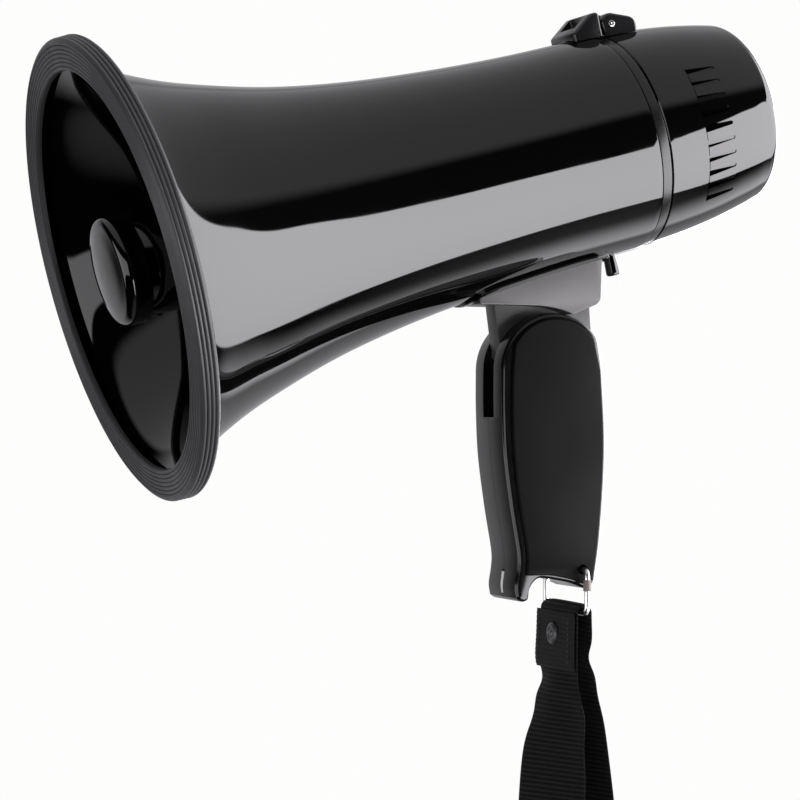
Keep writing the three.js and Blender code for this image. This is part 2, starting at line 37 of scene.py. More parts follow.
WALL = 2.3
BARREL_RADIUS = 39.2
BARREL_END = 193
BAND_END = 197.2
CAP_START = 197.5
CAP_END = 247.5
PANEL_FRONT = 241
PANEL_BACK = 243.4
PLUG_RADIUS = 19
FLARE = [(2, 77.5), (10, 68.6), (28, 59.9), (48, 53.5), (72, 47.7), (100, 43.5), (130, 40.9), (160, 39.5),
         (BARREL_END, BARREL_RADIUS)]
CAP_OUTLINE = [(CAP_START, 38.7), (206, 38.35), (216, 37.6), (226, 36.4), (236, 34.7), (242.5, 33.3)]
# Vents: their two ends along the axis, how many a side, and the first one's angle and their pitch in degrees
VENT_START, VENT_END, VENT_COUNT, VENT_FIRST, VENT_PITCH = 213, 225, 10, 61, 8.2
MIC, DIAL, TALK, SLIDER = (0, 8), (-14.5, -8), (0, -16), (14.5, -8)      # y and height in the horn
LATCH_PIN = (201, 41.7)       # along and above the horn's axis
LATCH_HALF_WIDTH = 10
KNUCKLE_RADIUS = 2.9
LEVER_ALONG, LEVER_TOP, LEVER_BOTTOM = 183.6, -36.6, -46.4
FOLD_PIVOT = (0, 33)          # x and z of the grip's pivot
GRIP_TOP_RADIUS = 20.4
GRIP_HALF_WIDTH = 12.4
PAD_OUTSIDE = 13.7
BRACKET_HALF_WIDTH = 12
TANG_HALF_WIDTH = 4
SLOT_HALF_WIDTH = 4.5
RING_HOLE = (10.2, -37.5)     # x and z in the grip's foot
RING_DROP = 15.5
RING_HALF_WIDTH = 17
WIRE_RADIUS = 1
STRAP_WIDTH = 30
STRAP_THICKNESS = 1.6
STRAP_DROP = 228              # from the ring's bar to the bottom of the loop
STRAP_TWIST = 25              # degrees that the hanging loop turns about its length
STRAP_BELLY = 22              # how far each leg bows out where they are furthest apart
WAIST_DROP = 25               # where the webbing is pinched, below the ring's bar
RIB_PITCH = 1.65
LAP_LENGTH = 21
FLOOR_HEIGHT = -0.30          # metres
ON_AXIS = 0.001               # a radius so small that a turned piece closes there

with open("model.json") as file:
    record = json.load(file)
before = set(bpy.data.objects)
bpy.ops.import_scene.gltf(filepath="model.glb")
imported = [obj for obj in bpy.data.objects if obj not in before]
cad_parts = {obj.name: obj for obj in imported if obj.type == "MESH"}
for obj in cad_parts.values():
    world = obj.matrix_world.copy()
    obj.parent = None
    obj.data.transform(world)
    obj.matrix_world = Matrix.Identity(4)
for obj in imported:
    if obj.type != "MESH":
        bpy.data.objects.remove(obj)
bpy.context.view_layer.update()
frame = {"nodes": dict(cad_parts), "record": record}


# Camera, light and floor

def make_camera():
    camera = bpy.data.objects.new("camera", bpy.data.cameras.new("camera"))
    bpy.context.scene.collection.objects.link(camera)
    camera.location = (-0.3991, -0.8420, 0.0226)
    camera.rotation_euler = (math.radians(90), 0, math.radians(-22.27))
    camera.data.lens = 117
    camera.data.sensor_width = 36
    bpy.context.scene.camera = camera


class Nodes:
    """A short way to write a node tree."""

    def __init__(self, tree):
        self.tree = tree
        tree.nodes.clear()

    def add(self, kind, **settings):
        node = self.tree.nodes.new(kind)
        for key, value in settings.items():
            setattr(node, key, value)
        return node

    def link(self, source, target):
        self.tree.links.new(source, target)

    def math(self, operation, a, b=0.0):
        node = self.add("ShaderNodeMath", operation=operation)
        for socket, value in zip(node.inputs, (a, b)):
            self.give(socket, value)
        return node.outputs[0]

    def give(self, socket, value):
        if isinstance(value, bpy.types.NodeSocket):
            self.link(value, socket)
        else:
            socket.default_value = value

    def dot(self, vector, direction):
        node = self.add("ShaderNodeVectorMath", operation="DOT_PRODUCT")
        self.link(vector, node.inputs[0])
        node.inputs[1].default_value = direction
        return node.outputs["Value"]

    def ramp(self, value, start, end, low=0.0, high=1.0):
        node = self.add("ShaderNodeMapRange", interpolation_type="SMOOTHSTEP")
        self.give(node.inputs["Value"], value)
        for name, number in (("From Min", start), ("From Max", end), ("To Min", low), ("To Max", high)):
            node.inputs[name].default_value = number
        return node.outputs["Result"]


# What the gloss mirrors: the brightness of each card, and the directions between which it comes into view.
STUDIO = {
    "sky": (0.62, [((0, 0, 1), 0.42, 0.56)]),
    "wall": (0.55, [((0.36, 0.93, 0), 0.45, 0.75), ((0, 0, -1), -0.52, -0.42)]),
    "low_card": (2.1, [((0, 0, -1), 0.25, 0.4), ((1, 0, 0), 0.2, 0.4), ((0, 1, 0), -0.08, 0.3),
                       ((0, -1, 0), -0.5, -0.38)]),
    "front_card": (2.3, [((-1, 0, 0), 0.5, 0.56), ((0, 0, -1), -0.1, -0.06), ((0, 0, 1), -0.4, -0.36),
                         ((0, -1, 0), -0.6, -0.55)]),
    "far_card": (5.0, [((1, 0, 0), 0.5, 0.54), ((0, 1, 0), 0.25, 0.29), ((0, 0, 1), -0.2, -0.16),
                       ((0, 0, -1), -0.22, -0.18)]),
    "ground": (0.3, [((0.3, 0, -0.95), 0.75, 0.95)]),
    "softbox": (9.5, [((0.22, -0.806, 0.549), 0.0, 0.015), ((0.513, 0.357, -0.781), 0.0, 0.015),
                      ((0.84, -0.54, 0.0), 0.35, 0.5), ((0, -1, 0), -1.0, 0.8)]),
}


def make_world():
    """A studio of cards round the object. The camera sees only the pale backdrop."""
    world = bpy.data.worlds.new("studio")
    world.use_nodes = True
    bpy.context.scene.world = world
    n = Nodes(world.node_tree)
    way = n.add("ShaderNodeTexCoord").outputs["Generated"]
    total = 0.0
    for brightness, edges in STUDIO.values():
        card = brightness
        for direction, start, end in edges:
            card = n.math("MULTIPLY", n.ramp(n.dot(way, direction), start, end), card)
        total = n.math("ADD", card, total)
    light = n.add("ShaderNodeBackground")
    light.inputs["Color"].default_value = (1.0, 0.985, 1.02, 1)
    n.link(total, light.inputs["Strength"])
    backdrop = n.add("ShaderNodeBackground")
    backdrop.inputs["Color"].default_value = (0.985, 0.985, 0.98, 1)
    mix = n.add("ShaderNodeMixShader")
    n.link(n.add("ShaderNodeLightPath").outputs["Is Camera Ray"], mix.inputs["Fac"])
    n.link(light.outputs[0], mix.inputs[1])
    n.link(backdrop.outputs[0], mix.inputs[2])
    n.link(mix.outputs[0], n.add("ShaderNodeOutputWorld").inputs["Surface"])


def make_floor():
    """A round pale floor that fades out into the backdrop."""
    place = (0, 0, FLOOR_HEIGHT)
    bpy.ops.mesh.primitive_circle_add(vertices=96, radius=1.1, fill_type="NGON", location=place)
    floor = bpy.context.object
    floor.name = "floor"
    floor.visible_glossy = False
    pale = bpy.data.materials.new("pale_floor")
    pale.use_nodes = True
    n = Nodes(pale.node_tree)
    coat = n.add("ShaderNodeBsdfPrincipled")
    coat.inputs["Base Color"].default_value = (0.86, 0.86, 0.855, 1)
    coat.inputs["Roughness"].default_value = 0.8
    distance = n.add("ShaderNodeVectorMath", operation="LENGTH")
    n.link(n.add("ShaderNodeTexCoord").outputs["Object"], distance.inputs[0])
    mix = n.add("ShaderNodeMixShader")
    n.link(n.ramp(distance.outputs["Value"], 0.35, 1.05), mix.inputs["Fac"])
    n.link(coat.outputs[0], mix.inputs[1])
    n.link(n.add("ShaderNodeBsdfTransparent").outputs[0], mix.inputs[2])
    n.link(mix.outputs[0], n.add("ShaderNodeOutputMaterial").inputs["Surface"])
    floor.data.materials.append(pale)


def make_lamp(name, place, aim, size, power):
    lamp = bpy.data.objects.new(name, bpy.data.lights.new(name, "AREA"))
    bpy.context.scene.collection.objects.link(lamp)
    lamp.location = place
    lamp.rotation_euler = (Vector(aim) - Vector(place)).to_track_quat("-Z", "Y").to_euler()
    lamp.data.size = size
    lamp.data.energy = power
    lamp.visible_glossy = False
    lamp.visible_camera = False


# Materials

def surface(name, color, roughness, grain, depth, spread=0.0, metallic=0.0, specular=0.5, sheen=0.0,
            speckle=0.0):
    """A moulded or plated surface: grain is the size of its texture in millimetres and depth its strength.
    spread is how much its roughness wanders, and speckle how much its colour does."""
    made = bpy.data.materials.new(name)
    made.use_nodes = True
    n = Nodes(made.node_tree)
    shader = n.add("ShaderNodeBsdfPrincipled")
    shader.inputs["Metallic"].default_value = metallic
    shader.inputs["Specular IOR Level"].default_value = specular
    shader.inputs["Sheen Weight"].default_value = sheen
    place = n.add("ShaderNodeTexCoord").outputs["Object"]
    fine = n.add("ShaderNodeTexNoise")
    fine.inputs["Scale"].default_value = 1 / (grain * MM)
    fine.inputs["Detail"].default_value = 3
    broad = n.add("ShaderNodeTexNoise")
    broad.inputs["Scale"].default_value = 45
    for noise in (fine, broad):
        n.link(place, noise.inputs["Vector"])
    patches = n.ramp(broad.outputs["Fac"], 0.3, 0.7, roughness - spread, roughness + spread)
    n.link(patches, shader.inputs["Roughness"])
    mix = n.add("ShaderNodeMix", data_type="RGBA")
    n.link(fine.outputs["Fac"], mix.inputs["Factor"])
    mix.inputs["A"].default_value = (*[c * (1 - speckle) for c in color], 1)
    mix.inputs["B"].default_value = (*[c * (1 + speckle) for c in color], 1)
    n.link(mix.outputs["Result"], shader.inputs["Base Color"])
    bump = n.add("ShaderNodeBump")
    bump.inputs["Strength"].default_value = depth
    bump.inputs["Distance"].default_value = 0.1 * MM
    n.link(fine.outputs["Fac"], bump.inputs["Height"])
    n.link(bump.outputs["Normal"], shader.inputs["Normal"])
    n.link(shader.outputs[0], n.add("ShaderNodeOutputMaterial").inputs["Surface"])
    return made


def webbing():
    """Black polypropylene webbing: warp threads along it, and a weave between its ribs, with painted sheen
    that lightens the rib crests. Its UV map is in millimetres."""
    made = bpy.data.materials.new("black_webbing")
    made.use_nodes = True
    n = Nodes(made.node_tree)
    shader = n.add("ShaderNodeBsdfPrincipled")
    shader.inputs["Roughness"].default_value = 0.82
    shader.inputs["Sheen Weight"].default_value = 0.03
    shader.inputs["Specular IOR Level"].default_value = 0.12
    split = n.add("ShaderNodeSeparateXYZ")
    n.link(n.add("ShaderNodeTexCoord").outputs["UV"], split.inputs[0])
    across, along = split.outputs["X"], split.outputs["Y"]
    warp = n.math("ABSOLUTE", n.math("SINE", n.math("MULTIPLY", across, 2 * math.pi / 1.2)))
    slant = n.math("ADD", n.math("MULTIPLY", across, 5.2), n.math("MULTIPLY", along, 2 * math.pi / RIB_PITCH))
    # painted sheen: the rib crests are lighter in the base colour, as if light caught them; the same value
    # also raises them in the bump
    rib_crest_sheen = n.ramp(n.math("COSINE", n.math("MULTIPLY", along, 2 * math.pi / RIB_PITCH)), 0.0, 1.0, 0.0, 0.7)
    gaps = n.ramp(n.math("SINE", slant), -1.0, 1.0, 0.35, 1.0)
    weave = n.math("MULTIPLY", n.math("MULTIPLY", warp, gaps), 0.4)
    fluff = n.add("ShaderNodeTexNoise")
    fluff.inputs["Scale"].default_value = 2.2
    n.link(n.add("ShaderNodeTexCoord").outputs["UV"], fluff.inputs["Vector"])
    height = n.math("ADD", n.math("ADD", weave, rib_crest_sheen), n.math("MULTIPLY", fluff.outputs["Fac"], 0.2))
    # base colour from near black to dark grey, driven by the weave, the painted rib sheen and random fluff
    mix = n.add("ShaderNodeMix", data_type="RGBA")
    n.link(height, mix.inputs["Factor"])
    mix.inputs["A"].default_value = (0.0001, 0.0001, 0.0001, 1)
    mix.inputs["B"].default_value = (0.016, 0.016, 0.0165, 1)
    n.link(mix.outputs["Result"], shader.inputs["Base Color"])
    bump = n.add("ShaderNodeBump")
    bump.inputs["Strength"].default_value = 0.8
    bump.inputs["Distance"].default_value = 0.15 * MM
    n.link(height, bump.inputs["Height"])
    n.link(bump.outputs["Normal"], shader.inputs["Normal"])
    n.link(shader.outputs[0], n.add("ShaderNodeOutputMaterial").inputs["Surface"])
    return made


LOOKS = {
    "gloss_black": surface("gloss_black", (0.0012, 0.0012, 0.0013), 0.045, 1.6, 0.012, spread=0.015),
    "satin_black": surface("satin_black", (0.05, 0.048, 0.048), 0.38, 0.35, 0.12, spread=0.05, speckle=0.1),
    "matte_black": surface("matte_black", (0.003, 0.003, 0.0031), 0.55, 0.25, 0.4, spread=0.05, specular=0.08,
                           speckle=0.3),
    "grey_rubber": surface("grey_rubber", (0.035, 0.035, 0.037), 0.42, 0.3, 0.2, spread=0.06, specular=0.3,
                           speckle=0.15),
    "steel": surface("steel", (0.66, 0.65, 0.64), 0.25, 0.4, 0.05, spread=0.06, metallic=1.0),
    "brass": surface("brass", (0.62, 0.46, 0.2), 0.35, 0.5, 0.05, spread=0.05, metallic=1.0),
    "cell_jacket": surface("cell_jacket", (0.02, 0.1, 0.04), 0.35, 0.8, 0.03, spread=0.05),
    "board_green": surface("board_green", (0.02, 0.12, 0.05), 0.5, 0.6, 0.08, spread=0.05, speckle=0.2),
    "black_rivet": surface("black_rivet", (0.035, 0.034, 0.036), 0.3, 0.5, 0.08, spread=0.05),
    "black_webbing": webbing(),
}
GRIP_BLACK = surface("grip_black", (0.004, 0.004, 0.0042), 0.16, 0.8, 0.03, spread=0.03, specular=0.42)
BAND_BLACK = surface("band_black", (0.004, 0.004, 0.0042), 0.24, 0.5, 0.06, spread=0.04, specular=0.4)
LATCH_BLACK = surface("latch_black", (0.008, 0.008, 0.0085), 0.2, 0.5, 0.05, spread=0.04)
SLEEVE_BROWN = surface("sleeve_brown", (0.16, 0.13, 0.11), 0.5, 0.4, 0.1, spread=0.05, speckle=0.2)
THREAD_BLACK = surface("thread_black", (0.02, 0.02, 0.021), 0.6, 0.2, 0.4, sheen=0.1)
# white of the dial's printed marks, also worn by the painted highlight strip in the grip's toe
PRINT_AND_HIGHLIGHT_WHITE = surface("print_and_highlight_white", (0.6, 0.6, 0.59), 0.5, 0.5, 0.05)


# Outlines

def spline(points, steps):
    """A smooth curve through the points, with this many steps between two of them."""
    ends = [tuple(2 * a - b for a, b in zip(points[0], points[1])),
            tuple(2 * a - b for a, b in zip(points[-1], points[-2]))]
    full = [ends[0], *points, ends[1]]
    curve = []
    for p0, p1, p2, p3 in zip(full, full[1:], full[2:], full[3:]):
        for i in range(steps):
            t = i / steps
            curve.append(tuple(
                0.5 * (2 * b + (c - a) * t + (2 * a - 5 * b + 4 * c - d) * t * t
                       + (3 * b - a - 3 * c + d) * t ** 3)
                for a, b, c, d in zip(p0, p1, p2, p3)))
    return [*curve, points[-1]]


def arc(centre, radius, start, end, steps):
    """Points of an arc, its angles in degrees."""
    angles = [math.radians(start + (end - start) * i / steps) for i in range(steps + 1)]
    return [(centre[0] + radius * math.cos(a), centre[1] + radius * math.sin(a)) for a in angles]


def bend(start, through, end, steps=5):
    """Points of a curve that leaves start and reaches end, both times towards through."""
    return [tuple((1 - t) ** 2 * a + 2 * t * (1 - t) * b + t * t * c for a, b, c in zip(start, through, end))
            for t in (i / steps for i in range(steps + 1))]


def rounded(points, radius, steps=4):
    """The closed outline with its corners rounded."""
    made = []
    for i, corner in enumerate(points):
        here = Vector(corner)
        back = Vector(points[i - 1]) - here
        ahead = Vector(points[(i + 1) % len(points)]) - here
        reach = min(radius, back.length * 0.45, ahead.length * 0.45)
        made += bend(here + back.normalized() * reach, here, here + ahead.normalized() * reach, steps)
    return [tuple(p) for p in made]


def radius_at(curve, along):
    for (s0, r0), (s1, r1) in zip(curve, curve[1:]):
        if s0 <= along <= s1:
            return r0 + (r1 - r0) * (along - s0) / (s1 - s0)
    return curve[-1][1]


FLARE_CURVE = spline(FLARE, 14)
CAP_CURVE = spline(CAP_OUTLINE, 8)


# Meshes

def from_bmesh(name, bm, matrix=WORLD, sharp=32):
    """An object of the bmesh, drawn in millimetres, shaded smooth up to the sharp angle."""
    bmesh.ops.remove_doubles(bm, verts=bm.verts, dist=0.005)
    bmesh.ops.recalc_face_normals(bm, faces=bm.faces)
    bm.transform(matrix @ Matrix.Scale(MM, 4))
    mesh = bpy.data.meshes.new(name)
    bm.to_mesh(mesh)
    bm.free()
    shade(mesh, sharp)
    made = bpy.data.objects.new(name, mesh)
    bpy.context.scene.collection.objects.link(made)
    return made


def shade(mesh, sharp=32):
    mesh.polygons.foreach_set("use_smooth", [True] * len(mesh.polygons))
    mesh.set_sharp_from_angle(angle=math.radians(sharp))


def grid_faces(bm, rows, close_rows, close_columns):
    """Faces between rows of vertices."""
    count, width = len(rows), len(rows[0])
    for i in range(count if close_rows else count - 1):
        for k in range(width if close_columns else width - 1):
            a, b = rows[i], rows[(i + 1) % count]
            bm.faces.new((a[k], a[(k + 1) % width], b[(k + 1) % width], b[k]))


def spun(bm, profile, segments):
    """Rows of vertices: the profile of (along, radius), turned about the x axis."""
    angles = [2 * math.pi * i / segments for i in range(segments)]
    return [[bm.verts.new((s, r * math.cos(a), r * math.sin(a))) for s, r in profile] for a in angles]


def turned(name, profile, segments=128, matrix=HORN, offset=(0, 0), sharp=32):
    """The profile of (along, radius) turned about the horn's axis and moved to offset, a (y, height)."""
    bm = bmesh.new()
    grid_faces(bm, spun(bm, profile, segments), True, all(r > 0 for s, r in profile))
    bm.transform(Matrix.Translation((0, *offset)))
    return from_bmesh(name, bm, matrix, sharp)


def slab(name, outline, low, high, matrix=WORLD, bevel=0.0, sides="both", segments=3):
    """The outline, drawn in x and z, as a plate from y = low to y = high, bevelled on the named sides."""
    bm = bmesh.new()
    caps = [[bm.verts.new((x, y, z)) for x, z in outline] for y in (low, high)]
    bm.faces.new(caps[0])
    bm.faces.new(caps[1])
    grid_faces(bm, caps, False, True)
    bmesh.ops.recalc_face_normals(bm, faces=bm.faces)
    if bevel:
        heights = {"both": (low, high), "low": (low,), "high": (high,)}[sides]
        edges = [e for e in bm.edges if abs(e.verts[0].co.y - e.verts[1].co.y) < 1e-6
                 and any(abs(e.verts[0].co.y - y) < 1e-6 for y in heights)]
        bmesh.ops.bevel(bm, geom=edges, offset=bevel, segments=segments, profile=0.5, affect="EDGES",
                        clamp_overlap=True)
    return from_bmesh(name, bm, matrix)


def block(name, low, high, matrix=WORLD, bevel=0.0):
    """A box with rounded edges."""
    bm = bmesh.new()
    bmesh.ops.create_cube(bm, size=1)
    size = Vector(high) - Vector(low)
    bm.transform(Matrix.Translation((Vector(high) + Vector(low)) / 2) @ Matrix.Diagonal((*size, 1)))
    if bevel:
        bmesh.ops.bevel(bm, geom=bm.edges[:], offset=bevel, segments=3, profile=0.5, affect="EDGES")
    return from_bmesh(name, bm, matrix)


def rod(name, centre, direction, radius, length, matrix=WORLD, bevel=0.0, segments=32):
    """A round bar with rounded ends."""
    end = length / 2
    profile = [(-end, ON_AXIS), (-end, radius), (end, radius), (end, ON_AXIS)]
    if bevel:
        profile = rounded(profile, bevel)
    bm = bmesh.new()
    grid_faces(bm, spun(bm, profile, segments), True, True)
    turn = Vector((1, 0, 0)).rotation_difference(Vector(direction)).to_matrix().to_4x4()
    bm.transform(Matrix.Translation(centre) @ turn)
    return from_bmesh(name, bm, matrix)


def tube(name, path, radius, segments=14, closed=False):
    """A round wire along the path."""
    bm = bmesh.new()
    points = [Vector(p) for p in path]
    rows = []
    side = Vector((1, 0, 0))
    for i, point in enumerate(points):
        after = points[(i + 1) % len(points)] if closed or i + 1 < len(points) else point
        before = points[i - 1] if closed or i else point
        along = (after - before).normalized()
        side = (side - along * side.dot(along)).normalized()
        up = along.cross(side)
        rows.append([bm.verts.new(point + radius * (side * math.cos(a) + up * math.sin(a)))
                     for a in (2 * math.pi * k / segments for k in range(segments))])
    grid_faces(bm, rows, closed, True)
    if not closed:
        bm.faces.new(rows[0])
        bm.faces.new(rows[-1])
    return from_bmesh(name, bm)


def carve(target, *tools, operation="DIFFERENCE"):
    """Cuts the tools out of the target, or joins them to it, and removes them."""
    for tool in tools:
        cutter = target.modifiers.new("cut", "BOOLEAN")
        cutter.operation = operation
        cutter.object = tool
        cutter.solver = "EXACT"
    depsgraph = bpy.context.evaluated_depsgraph_get()
    mesh = bpy.data.meshes.new_from_object(target.evaluated_get(depsgraph))
    target.modifiers.clear()
    target.data = mesh
    for tool in tools:
        bpy.data.objects.remove(tool)
    shade(mesh)
    return target


def join(name, parts):
    """One object of several meshes that touch."""
    bm = bmesh.new()
    for part in parts:
        bm.from_mesh(part.data)
        bpy.data.objects.remove(part)
    mesh = bpy.data.meshes.new(name)
    bm.to_mesh(mesh)
    bm.free()
    shade(mesh)
    made = bpy.data.objects.new(name, mesh)
    bpy.context.scene.collection.objects.link(made)
    return made


def wear(piece, body, slot, *stands_for, look=None):
    """Gives a piece its material and puts it on its body, in place of the CAD nodes that it stands for."""
    piece.data.materials.clear()
    piece.data.materials.append(look or LOOKS[slot])
    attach(piece, body)
    if stands_for:
        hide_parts(*stands_for)
    return piece


# Horn

def horn_space(extra=0.05):
    """The space that the horn fills, to shape what sits on it."""
    skin = [(s, r + extra) for s, r in FLARE_CURVE]
    return turned("horn_space", [(2, 0), *skin, (230, BARREL_RADIUS + extra), (230, 0)])


def cap_space(extra=0.3):
    """The space that the rear cap fills, and a little more, to shape what sits on it."""
    skin = [(s, r + extra) for s, r in CAP_CURVE]
    return turned("cap_space", [(CAP_START - 4, 0), (CAP_START - 4, skin[0][1]), *skin, (CAP_END, 0)])


def horn_shell():
    outer = FLARE_CURVE[:-1] + bend((BARREL_END - 0.4, BARREL_RADIUS), (BARREL_END, BARREL_RADIUS),
                                    (BARREL_END, BARREL_RADIUS - 0.4), 3)
    inner = [(s, r - WALL) for s, r in reversed(FLARE_CURVE)]
    inner[-1] = (2, 74)
    shell = turned("horn_shell_look", [*outer, *inner], 192)
    hole = rod("lever_hole", (LEVER_ALONG, 0, -BARREL_RADIUS), (0, 0, 1), 3.7, 8, HORN)
    wear(carve(shell, hole), "horn", "gloss_black", "horn_shell")


def bell_bumper():
    """A rubber ring with fine ribs across its front and round its outer edge."""
    def ribs(start, end, count, height, steps=6):
        """Points of equal ribs from start to end in the section, standing out to the left of that line."""
        a, b = Vector(start), Vector(end)
        out = Vector((-(b - a).y, (b - a).x)).normalized()
        swell = [out * height * math.sin(math.pi * i / steps) ** 0.6 for i in range(steps)]
        return [tuple(a.lerp(b, (k + i / steps) / count) + swell[i])
                for k in range(count) for i in range(steps)]

    section = [(1.6, 68.5), *ribs((0.9, 68.7), (0.55, 78.6), 7, 0.5), *ribs((0.7, 79.0), (6.4, 79.3), 4, 0.6),
               (6.6, 79.2), (7, 78.4), (7, 73.6), (1.7, 78.4), (1.7, 70.3), (2.6, 68.5)]
    wear(turned("bell_bumper_look", section, 192, sharp=50), "horn", "grey_rubber", "bell_bumper")


def reflex_horn():
    edge = arc((3.2, PLUG_RADIUS - 3.2), 3.2, 90, 176, 8)
    dome = spline([edge[-1], (-0.9, 11), (-1.5, 4.5), (-1.6, 0)], 5)
    plug = [(9.2, 0), (9.2, PLUG_RADIUS - 0.8), (8.6, PLUG_RADIUS), *edge, *dome[1:]]
    wear(turned("centre_plug_look", plug, 96), "horn", "gloss_black", "centre_plug")
    cup = [(9.6, 0), (9.6, 15.6), (14, 17.4), (62, 20.5), (62, 18.9), (14.5, 15.8), (12, 13.5), (12, 0)]
    wear(turned("reflector_cup_look", cup, 96), "horn", "gloss_black", "reflector_cup")
    throat = [(24, 10.4), (24, 12.2), (96, 9), (101, 20), (103.5, 20), (103.5, 6.5), (94, 6.5)]
    wear(turned("throat_tube_look", throat, 96), "horn", "gloss_black", "throat_tube")
    ring = turned("spider_ring", rounded([(52, 20.6), (52, 22.6), (56, 22.6), (56, 20.6)], 0.4), 64)
    arms = []
    for i in range(3):
        turn = HORN @ Matrix.Rotation(math.radians(120 * i), 4, "X")
        arms.append(block(f"spider_arm_{i}", (52, -2, 21.5), (56, 2, 47.4), turn, 0.6))
    wear(join("reflector_spider_look", [ring, *arms]), "horn", "gloss_black", "reflector_spider")
    flange = turned("driver_flange_look", [(104, 12), (104, 40.3), (107, 40.1), (107, 12)], 96)
    wear(flange, "horn", "matte_black", "driver_flange")


def seam_band():
    section = rounded([(BARREL_END + 0.35, 35.8), (BARREL_END + 0.35, BARREL_RADIUS - 0.45),
                       (BAND_END - 0.1, BARREL_RADIUS - 0.6), (BAND_END - 0.1, 35.8)], 0.35)
    wear(turned("seam_band_look", section, 128), "horn", "gloss_black", "seam_band", look=BAND_BLACK)


def mode_lever():
    profile = [(LEVER_TOP, ON_AXIS), (LEVER_TOP, 2.1), (LEVER_BOTTOM + 1, 2.6),
               *arc((LEVER_BOTTOM + 1, 1.6), 1, 90, 180, 4)[1:], (LEVER_BOTTOM, ON_AXIS)]
    bm = bmesh.new()
    rows = []
    for i in range(32):
        angle = 2 * math.pi * i / 32
        rows.append([bm.verts.new((LEVER_ALONG + r * math.cos(angle), r * math.sin(angle), h))
                     for h, r in profile])
    grid_faces(bm, rows, True, True)
    wear(from_bmesh("mode_lever_look", bm, HORN), "mode_lever", "gloss_black", "mode_lever")


# Rear cap

def rear_cap():
    outer = [(CAP_START, 38.3), (CAP_START + 0.3, 38.65), *CAP_CURVE[1:]]
    lip = [*bend(CAP_OUTLINE[-1], (246.2, 32.3), (CAP_END, 27.8), 8)[1:], (CAP_END, 27), (246.9, 26.5),
           (PANEL_BACK + 0.6, 26.2)]
    inner = [(s, r - WALL) for s, r in reversed(CAP_CURVE)]
    shell = turned("rear_cap_look", [*outer, *lip, *inner], 160)
    vents = []
    for i in range(VENT_COUNT):
        for side in (-1, 1):
            angle = side * math.radians(VENT_FIRST + i * VENT_PITCH)
            vents.append(vent(f"vent_{i}_{side}", HORN @ Matrix.Rotation(-angle, 4, "X")))
    steps = [vent_step(f"vent_step_{side}", side) for side in (-1, 1)]
    wear(carve(shell, join("vents", vents), *steps), "cap", "gloss_black", "rear_cap")


def vent(name, matrix):
    """What a vent takes out of the cap: wide and deep in front, narrow and shallow at its round rear end."""
    plan = [(VENT_START, -1.25), *arc((VENT_END - 0.7, 0), 0.7, -80, 80, 8), (VENT_START, 1.25)]
    front, rear = radius_at(CAP_CURVE, VENT_START), radius_at(CAP_CURVE, VENT_END)
    bm = bmesh.new()
    rows = []
    for depth, lift in ((1.9, 0.3), (-2, -2)):
        rows.append([])
        for along, aside in plan:
            share = (along - VENT_START) / (VENT_END - VENT_START)
            height = front - depth + share * (rear - lift - front + depth)
            rows[-1].append(bm.verts.new((along, aside, height)))
        bm.faces.new(rows[-1])
    grid_faces(bm, rows, False, True)
    return from_bmesh(name, bm, matrix)


def vent_step(name, side):
    """The fine step that joins the front ends of one side's vents."""
    radius = radius_at(CAP_CURVE, VENT_START)
    front, rear, floor = VENT_START - 0.15, VENT_START + 0.2, radius - 0.22
    section = [(front, floor), (front, radius + 1), (rear, radius + 1), (rear, floor)]
    span = (VENT_COUNT - 1) * VENT_PITCH + 4
    bm = bmesh.new()
    rows = []
    for i in range(49):
        angle = side * math.radians(VENT_FIRST - 2 + span * i / 48)
        rows.append([bm.verts.new((s, r * math.sin(angle), r * math.cos(angle))) for s, r in section])
    grid_faces(bm, rows, False, True)
    bm.faces.new(rows[0])
    bm.faces.new(rows[-1])
    return from_bmesh(name, bm, HORN)


def control_panel():
    """The panel inside the cap's open end, with holes for what it carries and a slot for the slider."""
    section = [(PANEL_FRONT, ON_AXIS), (PANEL_FRONT, 25.9), (PANEL_BACK, 25.9), (PANEL_BACK, ON_AXIS)]
    panel = turned("control_panel_look", rounded(section, 0.3), 96)
    holes = [turned(f"hole_{i}", [(PANEL_FRONT - 2, 0), (PANEL_FRONT - 2, radius), (PANEL_BACK + 2, radius),
                                  (PANEL_BACK + 2, 0)], 48, offset=place)
             for i, (place, radius) in enumerate([(MIC, 9), (DIAL, 1.9), (TALK, 3.9)])]
    y, z = SLIDER
    slot = block("slider_slot", (PANEL_FRONT - 2, y - 5, z - 1.6), (PANEL_BACK + 2, y + 5, z + 1.6), HORN)
    wear(carve(panel, *holes, slot), "cap", "matte_black", "control_panel")


def microphone_grille():
    front, back = PANEL_BACK - 1.2, PANEL_BACK + 0.6
    section = [(front, ON_AXIS), (front, 8.7), (back, 8.7), (back, ON_AXIS)]
    face = turned("microphone_grille_look", rounded(section, 0.4), 64, offset=MIC)
    slots = []
    for height in (-4.8, -2.4, 0, 2.4, 4.8):
        reach = math.sqrt(7.2 ** 2 - height ** 2)
        z = MIC[1] + height
        slots.append(block(f"grille_slot_{height}", (PANEL_BACK - 3, -reach, z - 0.55),
                           (PANEL_BACK + 3, reach, z + 0.55), HORN, 0.2))
    wear(carve(face, *slots), "cap", "matte_black", "microphone_grille")


